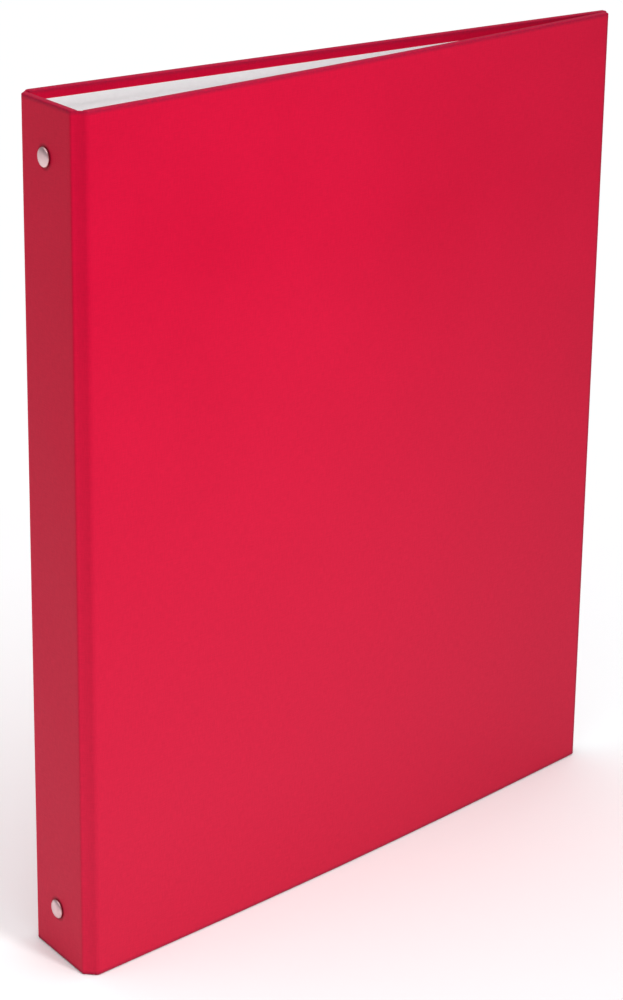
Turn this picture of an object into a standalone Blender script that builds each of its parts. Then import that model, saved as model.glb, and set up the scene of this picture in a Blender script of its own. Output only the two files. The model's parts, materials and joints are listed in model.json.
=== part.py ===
"""A4 ring binder, closed and standing on its bottom edges.

Three greyboard panels wrapped in a red covering make the back cover, the spine and the front
cover. Strips of the covering bridge the gaps between the boards and act as hinges. A riveted
mechanism on the inside of the spine carries four rings, each of two half rings on two rails
that toggle under an arched housing, with an opening lever at each end.

+X runs from the spine to the fore edge, +Y from the front cover to the back cover, +Z up.
The origin is on the standing surface, under the middle of the bounding box.
"""

import math

import bmesh
import bpy
from mathutils import Vector

# Overall size, in metres
HEIGHT = 0.320
COVER_WIDTH = 0.265  # from the outer face of the spine to the fore edge of the back cover
SPINE_DEPTH = 0.040  # across the spine, over both covers

# Layers of a wrapped panel
COVERING = 0.0003
GLUE_LINE = 0.00015
BOARD = 0.0019
LINING = 0.00025
TURN_IN = 0.006  # width of the covering's border on the inner face
PANEL = BOARD + 2 * (GLUE_LINE + COVERING)

# Hinges
CORNER_CUT = 0.0045  # from the virtual outer corner to the edge of each board beside a hinge
HINGE_STRIP = 0.0008  # covering and lining glued together
HINGE_SAG = 0.0003  # how far the strip dips into the hinge groove
HINGE_INSET = PANEL / 2  # the hinge axis lies where the middles of two panels meet
CLEARANCE = 0.0003  # between neighbouring pieces
FORE_EDGE_GAP = 0.0005  # between the covers where they meet

# Front cover's outward bow at its middle
FRONT_BOW = 0.0022

# Ring mechanism, measured from the inner face of the spine
MECHANISM_OFFSET = 0.001  # towards the back cover, so that open rings clear the leaning front cover
HOUSING_LENGTH = 0.300
HOUSING_HALF_WIDTH = 0.010
HOUSING_WALL = 0.0008
HOUSING_FOOT = 0.0003
HOUSING_SHOULDER = 0.0036  # top of the upright sides
HOUSING_CROWN = 0.0060
HOUSING_LIP = 0.0014
RAIL_AXIS_OUT = 0.0089
RAIL_AXIS_UP = 0.0030
RAIL_PLATE = 0.0010
RAIL_DIP = math.radians(5)  # the rails slope down to the middle when the rings are closed
RAIL_END_INSET = 0.0052  # from the end of the housing
RAIL_GAP = 0.0004  # between the two rails when they pass through the flat position
RING_INNER_RADIUS = 0.010
WIRE_RADIUS = 0.0015
RING_CENTRE_UP = 0.0145
RING_ARC_END = math.radians(136.5)  # measured from the top of the ring
RING_BEND_RADIUS = 0.0020
RING_FOOT_RADIUS = 0.0010
RING_COUNT = 4
RING_PITCH = 0.080
RING_SLOT_INNER_END = 0.0053  # from the mechanism's middle line
RING_SLOT_CLEARANCE = 0.00045
RIVET_SPACING = 0.282
RIVET_HEAD_RADIUS = 0.0035
RIVET_HEAD_RISE = 0.0014
RIVET_SHANK_RADIUS = 0.00175
RIVET_BUTTON_RADIUS = 0.0030
RIVET_BUTTON_RISE = 0.0009
RIVET_NOTCH_CLEARANCE = 0.0009  # between a shank and the notches in the moving rails
LEVER_AXIS_UP = 0.0032
LEVER_AXIS_INSET = 0.0030  # from the end of the housing
LEVER_HALF_WIDTH = 0.0045
LEVER_PLATE = 0.0010
LEVER_SHAFT_RADIUS = 0.0008
LEVER_NOTCH_CLEARANCE = 0.0006
LEVER_ARM = [(-0.00235, -0.0029), (-0.00235, -0.0012)]  # (height, distance outwards) from its axis
LEVER_TAB = [(0.0, 0.0), (0.0030, 0.0028), (0.0060, 0.0048), (0.0086, 0.0066)]

# Worked out from the sizes above
RING_RADIUS = RING_INNER_RADIUS + WIRE_RADIUS
BOARD_EDGE = CORNER_CUT - HINGE_INSET  # from a hinge axis to the edge of the board
COVER_REACH = COVER_WIDTH - HINGE_INSET  # from a hinge axis to the fore edge
FRONT_LEAN = math.asin((SPINE_DEPTH - 2 * PANEL - FORE_EDGE_GAP) / COVER_REACH)
FRONT_FACE = HINGE_INSET + BOARD_EDGE * math.sin(FRONT_LEAN) - PANEL / 2 * math.cos(FRONT_LEAN)
CENTRE_X = (COVER_WIDTH - RIVET_HEAD_RISE - CLEARANCE / 2) / 2
CENTRE_Y = (FRONT_FACE + SPINE_DEPTH) / 2
HOUSING_Z = (HEIGHT - HOUSING_LENGTH) / 2
RIVET_HEIGHTS = [(HEIGHT - RIVET_SPACING) / 2, (HEIGHT + RIVET_SPACING) / 2]
RING_HEIGHTS = [HEIGHT / 2 + (i - (RING_COUNT - 1) / 2) * RING_PITCH for i in range(RING_COUNT)]

# Facets
BOW_SEGMENTS = 16
ROUND_SEGMENTS = 24
PIN_SIDES = 16
WIRE_SIDES = 10
ARC_STEPS = 14
BEND_STEPS = 4
DOME_STEPS = 6
SHARP_ANGLE = math.radians(35)

PAST = 0.001  # how far a cutter runs past the face that it opens


# ---------------------------------------------------------------- scene and materials


def clear_scene():
    for obj in list(bpy.data.objects):
        bpy.data.objects.remove(obj)


def material(name, colour, roughness, metallic=0.0):
    made = bpy.data.materials.new(name)
    made.use_nodes = True
    shader = made.node_tree.nodes["Principled BSDF"]
    shader.inputs["Base Color"].default_value = (*colour, 1.0)
    shader.inputs["Roughness"].default_value = roughness
    shader.inputs["Metallic"].default_value = metallic
    made.diffuse_color = (*colour, 1.0)
    return made


def axis_frame(name, x, y, z=0.0, turn=0.0):
    """An empty at a place given from the spine's outer face, the front and the ground."""
    frame = bpy.data.objects.new(name, None)
    frame.location = (x - CENTRE_X, y - CENTRE_Y, z)
    frame.rotation_euler = (0.0, 0.0, turn)
    frame.empty_display_size = 0.01
    bpy.context.collection.objects.link(frame)
    return frame


def add_object(name, shape, frame, finish=None, smooth=False):
    """An object made from a bmesh, in the given frame."""
    mesh = bpy.data.meshes.new(name)
    bmesh.ops.recalc_face_normals(shape, faces=shape.faces)
    shape.to_mesh(mesh)
    shape.free()
    if smooth:
        mesh.shade_smooth()
        mesh.set_sharp_from_angle(angle=SHARP_ANGLE)
    obj = bpy.data.objects.new(name, mesh)
    obj.parent = frame
    bpy.context.collection.objects.link(obj)
    if finish is not None:
        mesh.materials.append(finish)
    return obj


def add_cutter(name, shape, frame):
    cutter = add_object("cutter_" + name, shape, frame)
    cutter.hide_render = True
    cutter.display_type = "WIRE"
    return cutter


def combine(target, tool, operation="DIFFERENCE"):
    step = target.modifiers.new(tool.name, "BOOLEAN")
    step.operation = operation
    step.solver = "EXACT"
    step.object = tool


# ---------------------------------------------------------------- shapes


def prism(outline, low, high, along="Z"):
    """A closed outline of (a, b) points, extruded from low to high along Z or Y."""
    place = {
        "Z": lambda a, b, c: (a, b, c),
        "Y": lambda a, b, c: (a, c, b),
    }[along]
    shape = bmesh.new()
    rims = [[shape.verts.new(place(a, b, c)) for a, b in outline] for c in (low, high)]
    for rim in rims:
        shape.faces.new(rim)
    for i in range(len(outline)):
        j = (i + 1) % len(outline)
        shape.faces.new((rims[0][i], rims[0][j], rims[1][j], rims[1][i]))
    return shape


def block(x_range, y_range, z_range):
    (x0, x1), (y0, y1) = x_range, y_range
    return prism([(x0, y0), (x1, y0), (x1, y1), (x0, y1)], *z_range)


def join_shapes(shapes):
    """Several closed shapes in one bmesh, for a cutter that opens several holes."""
    joined = bmesh.new()
    for shape in shapes:
        mesh = bpy.data.meshes.new("joined")
        bmesh.ops.recalc_face_normals(shape, faces=shape.faces)
        shape.to_mesh(mesh)
        shape.free()
        joined.from_mesh(mesh)
        bpy.data.meshes.remove(mesh)
    return joined


def tube(path, radii, sides, z=0.0):
    """A round bar along a path of (x, y) points at one height."""
    shape = bmesh.new()
    points = [Vector((x, y, z)) for x, y in path]
    rims = []
    for i, (point, radius) in enumerate(zip(points, radii)):
        ahead = points[min(i + 1, len(points) - 1)] - points[max(i - 1, 0)]
        across = ahead.normalized().cross(Vector((0, 0, 1)))
        rim = []
        for k in range(sides):
            turn = 2 * math.pi * k / sides
            spoke = across * math.cos(turn) + Vector((0, 0, math.sin(turn)))
            rim.append(shape.verts.new(point + spoke * radius))
        rims.append(rim)
    for first, second in zip(rims, rims[1:]):
        for k in range(sides):
            j = (k + 1) % sides
            shape.faces.new((first[k], first[j], second[j], second[k]))
    shape.faces.new(rims[0])
    shape.faces.new(rims[-1])
    return shape


def turned(profile, z=0.0):
    """A profile of (x, radius) points turned about the X direction; it starts and ends on the axis."""
    shape = bmesh.new()
    rims = []
    for x, radius in profile[1:-1]:
        rim = []
        for k in range(ROUND_SEGMENTS):
            turn = 2 * math.pi * k / ROUND_SEGMENTS
            rim.append(shape.verts.new((x, radius * math.cos(turn), z + radius * math.sin(turn))))
        rims.append(rim)
    for first, second in zip(rims, rims[1:]):
        for k in range(ROUND_SEGMENTS):
            j = (k + 1) % ROUND_SEGMENTS
            shape.faces.new((first[k], first[j], second[j], second[k]))
    for rim, (x, _) in ((rims[0], profile[0]), (rims[-1], profile[-1])):
        pole = shape.verts.new((x, 0.0, z))
        for k in range(ROUND_SEGMENTS):
            shape.faces.new((pole, rim[k], rim[(k + 1) % ROUND_SEGMENTS]))
    return shape


def pin_along_x(radius, x_range, z):
    x0, x1 = x_range
    return turned([(x0, 0.0), (x0, radius), (x1, radius), (x1, 0.0)], z)


def circle(radius, a, b):
    turns = [2 * math.pi * i / PIN_SIDES for i in range(PIN_SIDES)]
    return [(a + radius * math.cos(t), b + radius * math.sin(t)) for t in turns]


def ribbon(path, thickness):
    """The outline of a plate of even thickness that follows a path of (a, b) points."""
    left, right = [], []
    for i, point in enumerate(path):
        here = Vector(point)
        before = (here - Vector(path[i - 1])).normalized() if i > 0 else None
        after = (Vector(path[i + 1]) - here).normalized() if i < len(path) - 1 else None
        before = before if before is not None else after
        after = after if after is not None else before
        middle = (before + after).normalized()
        side = Vector((-middle.y, middle.x))
        reach = thickness / 2 / max(0.5, middle.dot(after))
        left.append(tuple(here + side * reach))
        right.append(tuple(here - side * reach))
    return left + right[::-1]


def arc_between(start, end, sag, steps):
    """Points on a shallow arc between two points; a positive sag bends it to the left."""
    start, end = Vector(start), Vector(end)
    chord = end - start
    side = Vector((-chord.y, chord.x)).normalized()
    shares = [i / steps for i in range(steps + 1)]
    return [tuple(start + chord * t + side * sag * 4 * t * (1 - t)) for t in shares]


# ---------------------------------------------------------------- wrapped panels


class Panel:
    """A board with its covering and lining, in a frame whose local X runs across the panel.

    The local y = 0 plane is the middle of the board, and out (+1 or -1) is its outer side.
    The covering is turned in at the top and bottom, and at the far edge unless it is open.
    """

    def __init__(self, name, frame, near, far, out, bow=0.0, far_open=False):
        self.name = name
        self.frame = frame
        self.near = near
        self.far = far
        self.out = out
        self.bow = bow
        self.far_open = far_open

    def slab(self, x_range, depth_range, z_range):
        """A slab that follows the bow; depth runs outwards from the middle of the board."""
        steps = BOW_SEGMENTS if self.bow else 1
        (x0, x1), (inner, outer) = x_range, depth_range
        across = [x0 + (x1 - x0) * i / steps for i in range(steps + 1)]
        shares = [(x - self.near) / (self.far - self.near) for x in across]
        bows = [self.bow * math.sin(math.pi * share) for share in shares]
        inside = [(x, self.out * (inner + b)) for x, b in zip(across, bows)]
        outside = [(x, self.out * (outer + b)) for x, b in zip(across, bows)]
        return prism(inside + outside[::-1], *z_range)

    def far_limit(self, inset):
        return self.far if self.far_open else self.far - inset

    def covering(self, finish):
        half = PANEL / 2
        overrun = PAST if self.far_open else 0.0
        skin = self.slab((self.near, self.far), (-half, half), (0.0, HEIGHT))
        pocket = self.slab(
            (self.near - PAST, self.far_limit(COVERING) + overrun),
            (COVERING - half, half - COVERING),
            (COVERING, HEIGHT - COVERING),
        )
        window = self.slab(
            (self.near - PAST, self.far_limit(TURN_IN) + overrun),
            (-half - PAST, COVERING - half + GLUE_LINE),
            (TURN_IN, HEIGHT - TURN_IN),
        )
        made = add_object(self.name + "_covering", skin, self.frame, finish)
        combine(made, add_cutter(self.name + "_pocket", pocket, self.frame))
        combine(made, add_cutter(self.name + "_window", window, self.frame))
        return made

    def board(self, finish):
        inset = COVERING + GLUE_LINE
        x_range = (self.near, self.far_limit(inset))
        core = self.slab(x_range, (-BOARD / 2, BOARD / 2), (inset, HEIGHT - inset))
        return add_object(self.name + "_board", core, self.frame, finish)

    def lining(self, finish):
        inset = TURN_IN + CLEARANCE
        x_range = (self.near, self.far_limit(inset))
        sheet = self.slab(x_range, (-PANEL / 2, LINING - PANEL / 2), (inset, HEIGHT - inset))
        return add_object(self.name + "_lining", sheet, self.frame, finish)


def rivet_holes(name, frame, radius, x_range):
    holes = [pin_along_x(radius, x_range, z) for z in RIVET_HEIGHTS]
    return add_cutter(name, join_shapes(holes), frame)


def build_panels(finishes, mechanism):
    front = axis_frame("front_hinge_axis", HINGE_INSET, HINGE_INSET, turn=FRONT_LEAN)
    back = axis_frame("back_hinge_axis", HINGE_INSET, SPINE_DEPTH - HINGE_INSET)
    spine = axis_frame("spine_middle", HINGE_INSET, SPINE_DEPTH / 2, turn=math.pi / 2)
    half_spine = SPINE_DEPTH / 2 - CORNER_CUT
    panels = [
        Panel("front_cover", front, BOARD_EDGE, COVER_REACH, out=-1, bow=FRONT_BOW),
        Panel("back_cover", back, BOARD_EDGE, COVER_REACH, out=1),
        Panel("spine", spine, -half_spine, half_spine, out=1, far_open=True),
    ]
    through_spine = (-PANEL - PAST, PAST)
    hole_radius = RIVET_SHANK_RADIUS + CLEARANCE
    holes = rivet_holes("spine_rivet_holes", mechanism, hole_radius, through_spine)
    for panel in panels:
        pieces = [
            panel.board(finishes["board"]),
            panel.covering(finishes["covering"]),
            panel.lining(finishes["lining"]),
        ]
        if panel.name == "spine":
            for piece in pieces:
                combine(piece, holes)


def hinge_strip(name, y_axis, out, lean, finish):
    """The strip between the spine and one cover, in an upright frame on the hinge axis."""
    frame = axis_frame(name + "_axis", HINGE_INSET, y_axis)
    raised = HINGE_STRIP / 2
    reach = BOARD_EDGE - CLEARANCE - raised
    at_spine = (-raised, -out * reach)
    at_cover = (
        reach * math.cos(lean) + raised * math.sin(lean),
        out * (raised * math.cos(lean) - reach * math.sin(lean)),
    )
    path = arc_between(at_spine, at_cover, -out * HINGE_SAG, steps=4)
    z_range = (CLEARANCE, HEIGHT - CLEARANCE)
    add_object(name, prism(ribbon(path, HINGE_STRIP), *z_range), frame, finish)


def build_hinges(finishes):
    hinge_strip("front_hinge_strip", HINGE_INSET, -1, FRONT_LEAN, finishes["covering"])
    hinge_strip("back_hinge_strip", SPINE_DEPTH - HINGE_INSET, 1, 0.0, finishes["covering"])


# ---------------------------------------------------------------- ring mechanism
# In the mechanism's frame, local X is the height above the spine's inner face and local Y is
# the distance from the mechanism's middle line, positive towards the back cover.


def arch(half_width, shoulder, crown):
    """Points over the arch from the back side to the front side."""
    turns = [math.pi * i / ARC_STEPS for i in range(ARC_STEPS + 1)]
    rise = crown - shoulder
    return [(shoulder + rise * math.sin(t), half_width * math.cos(t)) for t in turns]


def housing_outline():
    outer, inner = HOUSING_HALF_WIDTH, HOUSING_HALF_WIDTH - HOUSING_WALL
    lip = HOUSING_HALF_WIDTH - HOUSING_LIP
    lip_top = HOUSING_FOOT + HOUSING_WALL
    over = arch(outer, HOUSING_SHOULDER, HOUSING_CROWN)
    under = arch(inner, HOUSING_SHOULDER, HOUSING_CROWN - HOUSING_WALL)
    front_lip = [(HOUSING_FOOT, -outer), (HOUSING_FOOT, -lip), (lip_top, -lip), (lip_top, -inner)]
    back_lip = [(lip_top, inner), (lip_top, lip), (HOUSING_FOOT, lip), (HOUSING_FOOT, outer)]
    return over + front_lip + under[::-1] + back_lip


def ring_slots():
    """Openings in the shoulders of the housing for the half rings."""
    slots = []
    half_slot = WIRE_RADIUS + RING_SLOT_CLEARANCE
    x_range = (HOUSING_SHOULDER + CLEARANCE, HOUSING_CROWN + PAST)
    inner = RING_SLOT_INNER_END
    outer = HOUSING_HALF_WIDTH + CLEARANCE
    for z in RING_HEIGHTS:
        for y_range in ((inner, outer), (-outer, -inner)):
            slots.append(block(x_range, y_range, (z - half_slot, z + half_slot)))
    return join_shapes(slots)


def lever_openings():
    """Notches in the crown at both ends, and the holes that the lever shafts turn in."""
    openings = []
    half_notch = LEVER_HALF_WIDTH + LEVER_NOTCH_CLEARANCE
    crown = (HOUSING_SHOULDER + CLEARANCE, HOUSING_CROWN + PAST)
    for end, inward in ((HOUSING_Z, 1), (HEIGHT - HOUSING_Z, -1)):
        ends = sorted((end - inward * PAST, end + inward * RAIL_END_INSET))
        openings.append(block(crown, (-half_notch, half_notch), ends))
        axis = (LEVER_AXIS_UP, end + inward * LEVER_AXIS_INSET)
        rim = circle(LEVER_SHAFT_RADIUS + CLEARANCE, *axis)
        openings.append(prism(rim, -HOUSING_HALF_WIDTH - PAST, HOUSING_HALF_WIDTH + PAST, "Y"))
    return join_shapes(openings)


def build_housing(mechanism, finish):
    z_range = (HOUSING_Z, HEIGHT - HOUSING_Z)
    housing = add_object("ring_housing", prism(housing_outline(), *z_range), mechanism, finish)
    combine(housing, add_cutter("ring_slots", ring_slots(), mechanism))
    combine(housing, add_cutter("lever_openings", lever_openings(), mechanism))
    hole_radius = RIVET_SHANK_RADIUS + CLEARANCE
    crown = (HOUSING_SHOULDER, HOUSING_CROWN + PAST)
    combine(housing, rivet_holes("housing_rivet_holes", mechanism, hole_radius, crown))


def rail_outline(side):
    """Section of a rail from its axis to the middle line; side is +1 at the back, -1 in front."""
    reach = RAIL_AXIS_OUT - RAIL_GAP / 2
    along = Vector((-math.sin(RAIL_DIP), -side * math.cos(RAIL_DIP)))
    normal = Vector((math.cos(RAIL_DIP), -side * math.sin(RAIL_DIP))) * RAIL_PLATE / 2
    inner = along * reach
    return [tuple(normal), tuple(inner + normal), tuple(inner - normal), tuple(-normal)]


def half_ring_path():
    """Centre line of a back half ring, from its tip down to its foot, with the bar's radius."""
    top = RING_CENTRE_UP + RING_RADIUS
    path = [(top, CLEARANCE / 2), (top, 2 * CLEARANCE)]
    for i in range(1, ARC_STEPS + 1):
        turn = RING_ARC_END * i / ARC_STEPS
        path.append((RING_CENTRE_UP + RING_RADIUS * math.cos(turn), RING_RADIUS * math.sin(turn)))
    bend_reach = RING_RADIUS + RING_BEND_RADIUS
    bend_x = RING_CENTRE_UP + bend_reach * math.cos(RING_ARC_END)
    bend_y = bend_reach * math.sin(RING_ARC_END)
    for i in range(1, BEND_STEPS + 1):
        turn = RING_ARC_END + (math.pi / 2 - RING_ARC_END) * i / BEND_STEPS
        spoke = (RING_BEND_RADIUS * math.cos(turn), RING_BEND_RADIUS * math.sin(turn))
        path.append((bend_x - spoke[0], bend_y - spoke[1]))
    radii = [WIRE_RADIUS] * len(path)
    foot_y = path[-1][1]
    foot_end = RAIL_AXIS_UP - RAIL_PLATE + CLEARANCE
    path += [(bend_x - WIRE_RADIUS / 2, foot_y), (foot_end, foot_y)]
    radii += [RING_FOOT_RADIUS] * 2
    return path, radii


def build_rails_and_rings(mechanism, x_mechanism, y_mechanism, finishes):
    path, radii = half_ring_path()
    foot_y = path[-1][1]
    notch_radius = RIVET_SHANK_RADIUS + RIVET_NOTCH_CLEARANCE
    notches = rivet_holes("rail_notches", mechanism, notch_radius, (0.0, HOUSING_CROWN))
    hole_radius = RING_FOOT_RADIUS + CLEARANCE
    z_range = (HOUSING_Z + RAIL_END_INSET, HEIGHT - HOUSING_Z - RAIL_END_INSET)
    for name, side in (("front", -1), ("back", 1)):
        x_axis = x_mechanism + RAIL_AXIS_UP
        y_axis = y_mechanism + side * RAIL_AXIS_OUT
        frame = axis_frame(name + "_rail_axis", x_axis, y_axis)
        plate = prism(rail_outline(side), *z_range)
        rail = add_object(name + "_ring_rail", plate, frame, finishes["rail"])
        combine(rail, notches)
        placed = [(x - RAIL_AXIS_UP, side * (y - RAIL_AXIS_OUT)) for x, y in path]
        foot = side * (foot_y - RAIL_AXIS_OUT)
        holes = []
        for number, z in enumerate(RING_HEIGHTS, start=1):
            bar = tube(placed, radii, WIRE_SIDES, z)
            add_object(f"{name}_half_ring_{number}", bar, frame, finishes["ring"], smooth=True)
            hole = [(-RAIL_PLATE - PAST, foot), (RAIL_PLATE + PAST, foot)]
            holes.append(tube(hole, [hole_radius, hole_radius], WIRE_SIDES, z))
        combine(rail, add_cutter(name + "_foot_holes", join_shapes(holes), frame))


def build_rivets(mechanism, finish):
    """Rivets with a domed head on the spine and a low button on the housing."""
    outer = -PANEL - CLEARANCE / 2
    inner = HOUSING_CROWN + CLEARANCE / 2
    head = []
    button = []
    for i in range(DOME_STEPS + 1):
        turn = math.pi / 2 * i / DOME_STEPS
        rise, out = math.cos(turn), math.sin(turn)
        head.append((outer - RIVET_HEAD_RISE * rise, RIVET_HEAD_RADIUS * out))
        button.append((inner + RIVET_BUTTON_RISE * out, RIVET_BUTTON_RADIUS * rise))
    shank = [(outer, RIVET_SHANK_RADIUS), (inner, RIVET_SHANK_RADIUS)]
    for name, z in zip(("lower_rivet", "upper_rivet"), RIVET_HEIGHTS):
        add_object(name, turned(head + shank + button, z), mechanism, finish, smooth=True)


def build_levers(x_mechanism, y_mechanism, finish):
    """Bent plates, each on a cross shaft, that run from an arm under the rails to a thumb tab."""
    ends = (("lower_lever", HOUSING_Z, -1), ("upper_lever", HEIGHT - HOUSING_Z, 1))
    for name, end, out in ends:
        z_axis = end - out * LEVER_AXIS_INSET
        frame = axis_frame(name + "_axis", x_mechanism + LEVER_AXIS_UP, y_mechanism, z_axis)
        side_view = ribbon(LEVER_ARM + LEVER_TAB, LEVER_PLATE)
        outline = [(up, out * away) for up, away in side_view]
        plate = prism(outline, -LEVER_HALF_WIDTH, LEVER_HALF_WIDTH, "Y")
        lever = add_object(name, plate, frame, finish)
        half_shaft = HOUSING_HALF_WIDTH - HOUSING_WALL / 2
        shaft = prism(circle(LEVER_SHAFT_RADIUS, 0.0, 0.0), -half_shaft, half_shaft, "Y")
        combine(lever, add_cutter(name + "_shaft", shaft, frame), "UNION")


def main():
    clear_scene()
    finishes = {
        "covering": material("red_covering", (0.62, 0.010, 0.045), 0.42),
        "board": material("greyboard", (0.36, 0.33, 0.28), 0.9),
        "lining": material("white_lining", (0.86, 0.84, 0.82), 0.7),
        "rail": material("zinc_plated_steel", (0.55, 0.56, 0.58), 0.38, 1.0),
        "ring": material("nickel_plated_steel", (0.78, 0.77, 0.75), 0.18, 1.0),
    }
    y_mechanism = SPINE_DEPTH / 2 + MECHANISM_OFFSET
    mechanism = axis_frame("mechanism_middle", PANEL, y_mechanism)
    build_panels(finishes, mechanism)
    build_hinges(finishes)
    build_housing(mechanism, finishes["ring"])
    build_rails_and_rings(mechanism, PANEL, y_mechanism, finishes)
    build_rivets(mechanism, finishes["ring"])
    build_levers(PANEL, y_mechanism, finishes["ring"])


main()
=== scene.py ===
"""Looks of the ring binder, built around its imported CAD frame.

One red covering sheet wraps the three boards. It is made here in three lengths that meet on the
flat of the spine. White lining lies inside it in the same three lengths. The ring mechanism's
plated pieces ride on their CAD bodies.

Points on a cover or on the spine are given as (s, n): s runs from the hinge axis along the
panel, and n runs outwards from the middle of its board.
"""

import json
import math

import bmesh
import bpy
from mathutils import Matrix, Vector


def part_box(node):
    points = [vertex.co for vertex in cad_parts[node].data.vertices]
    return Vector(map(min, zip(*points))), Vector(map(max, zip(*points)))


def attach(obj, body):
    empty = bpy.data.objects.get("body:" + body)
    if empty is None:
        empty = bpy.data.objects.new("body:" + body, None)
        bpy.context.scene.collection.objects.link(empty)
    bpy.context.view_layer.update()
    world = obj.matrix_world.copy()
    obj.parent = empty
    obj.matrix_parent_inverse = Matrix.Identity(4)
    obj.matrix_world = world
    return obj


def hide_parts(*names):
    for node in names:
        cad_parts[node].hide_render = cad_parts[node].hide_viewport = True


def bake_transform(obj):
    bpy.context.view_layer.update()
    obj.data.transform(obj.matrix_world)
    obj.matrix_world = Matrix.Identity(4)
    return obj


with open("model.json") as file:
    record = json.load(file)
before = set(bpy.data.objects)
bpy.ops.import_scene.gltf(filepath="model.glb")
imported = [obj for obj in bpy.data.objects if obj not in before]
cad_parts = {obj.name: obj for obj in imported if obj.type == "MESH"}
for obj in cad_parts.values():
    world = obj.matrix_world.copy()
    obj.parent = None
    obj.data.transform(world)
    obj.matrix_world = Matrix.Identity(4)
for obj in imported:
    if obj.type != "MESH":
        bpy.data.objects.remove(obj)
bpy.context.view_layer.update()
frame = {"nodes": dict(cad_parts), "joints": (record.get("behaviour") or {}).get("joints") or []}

# ---------------------------------------------------------------- sizes from the frame

JOINTS = {joint["name"]: Vector(joint["pos_m"]) for joint in frame["joints"]}
FRONT_AXIS = JOINTS["front_cover_hinge"].xy
BACK_AXIS = JOINTS["back_cover_hinge"].xy
FRONT_RAIL_AXIS = JOINTS["ring_opening"].xy
BACK_RAIL_AXIS = JOINTS["back_rail_turn"].xy


def extent(node, axis):
    """Where a CAD node starts and ends along one axis."""
    low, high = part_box(node)
    return low[axis], high[axis]


SPINE_OUTER, SPINE_INNER = extent("spine_covering", 0)
BOTTOM, TOP = extent("spine_covering", 2)
PANEL = SPINE_INNER - SPINE_OUTER
BOARD = extent("spine_board", 0)[1] - extent("spine_board", 0)[0]
BOARD_EDGE = extent("spine_board", 1)[0] - FRONT_AXIS.y
REACH = extent("back_cover_covering", 0)[1] - BACK_AXIS.x
FRONT_BOW = 0.0022

# The front cover leans until its inner corner at the fore edge lies as deep as in the CAD.
INNER_CORNER = extent("front_cover_covering", 1)[1] - FRONT_AXIS.y
CORNER_REACH = math.hypot(REACH, PANEL / 2)
FRONT_LEAN = math.asin(INNER_CORNER / CORNER_REACH) - math.atan2(PANEL / 2, REACH)
MIDDLE_Z = (BOTTOM + TOP) / 2

# Covering and lining
SHEET = 0.00025
EDGE_ROUND = 0.00055  # radius of the wrapped edges
ROUND_SHARE = 0.46  # of the thickness, where a hinge is thinner than the panels
ROUND_STEPS = 4
CORNER_STEPS = 4
TURN_IN = 0.006
RUB_AND_SHADE_WIDTH = 0.0012  # how far the rubbed look and the painted shade of an edge reach onto the faces
SEAM = 0.001  # from a board's edge on the spine to the seam between two lengths
COVER_STEPS = 26
SPINE_STEPS = 4
HEIGHT_STEPS = 16
SAME_POINT, NO_LENGTH = 2e-6, 1e-7  # patches join within the first
CREASE = 50  # degrees; edges sharper than this stay sharp on the sheets
SHEEN_TOP, SHEEN_FOOT = TOP - 0.060, BOTTOM + 0.050  # the red is painted paler and pinker from the first height down to the second, a painted reflection of the pale floor
LINING_INSET = 0.0036
LINING_SHEET = 0.00015
LINING_LAPPED = 0.00010  # underside above the turned-in border
LINING_SUNK = -0.00034  # underside where it lies on the board
LAP_WIDTH = 0.0024

# Hinges, in (s, n); a ridge has a radius, a start past the board's edge, and a turn
WRAP = (PANEL - BOARD) / 2  # radius of the covering round a board's inner edge
SPINE_RIDGE = (0.0010, 0.00025, math.radians(68))
COVER_RIDGE = (0.0022, 0.00075, math.radians(58))
STRIP_STEPS = 36
OUTER_PULL = 0.0022  # tangent lengths of the strip's curves
INNER_PULL = 0.0032

# Ring mechanism
MIDDLE_Y = (FRONT_RAIL_AXIS.y + BACK_RAIL_AXIS.y) / 2
WIRE = 0.0015  # radius of a ring's wire
RING_RADIUS = 0.0115  # of the wire's centre line
RING_TOP = extent("back_half_ring_1", 0)[1] - WIRE
RING_CENTRE_X = RING_TOP - RING_RADIUS
RING_HEIGHTS = [sum(extent(f"back_half_ring_{i}", 2)) / 2 for i in (1, 2, 3, 4)]
RING_ARC_END = math.radians(136.5)  # from the ring's top
RING_BEND = 0.0020  # radius of the bend from the arc into the foot
RING_GAP = 0.00015  # from the middle to each half ring's tip
RING_STEPS = 36
RING_BEND_STEPS = 8
RING_SIDES = 28
RING_TIP = ((0.0, 0.80), (0.00025, 0.97), (0.0006, 1.0))  # (past the gap, share of the wire)
FOOT_RADIUS = 0.0010
FOOT_END = extent("back_half_ring_1", 0)[0]
HOUSING_LOW, HOUSING_HIGH = extent("ring_housing", 2)
HOUSING_FOOT, HOUSING_CROWN = extent("ring_housing", 0)
HOUSING_HALF = (extent("ring_housing", 1)[1] - extent("ring_housing", 1)[0]) / 2
HOUSING_SHOULDER = SPINE_INNER + 0.0036
HOUSING_WALL = 0.0008
HOUSING_LIP = 0.0014
HOUSING_ARCH_STEPS = 40
CUT_FLOOR = HOUSING_SHOULDER + 0.0003  # slots and notches are cut from here to above the crown
CUT_TOP = HOUSING_CROWN + 0.001
SLOT_INNER_END = 0.0053
SLOT_OUTER_END = HOUSING_HALF + 0.002
SLOT_HALF = WIRE + 0.00045
SLOT_ROUND = 0.0008
PLATE_EDGE = 0.00015  # small round on the edges of the housing and the lever shafts
PLATE_CREASE, TURNED_CREASE = 35, 40  # degrees
RIVET_HEIGHTS = {name: sum(extent(name, 2)) / 2 for name in ("lower_rivet", "upper_rivet")}
RIVET_TOP, RIVET_END = extent("lower_rivet", 0)
RIVET_RADIUS = (extent("lower_rivet", 1)[1] - extent("lower_rivet", 1)[0]) / 2
RIVET_RIM = 0.0003
RIVET_RIM_CHAMFER = 0.0001
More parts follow.
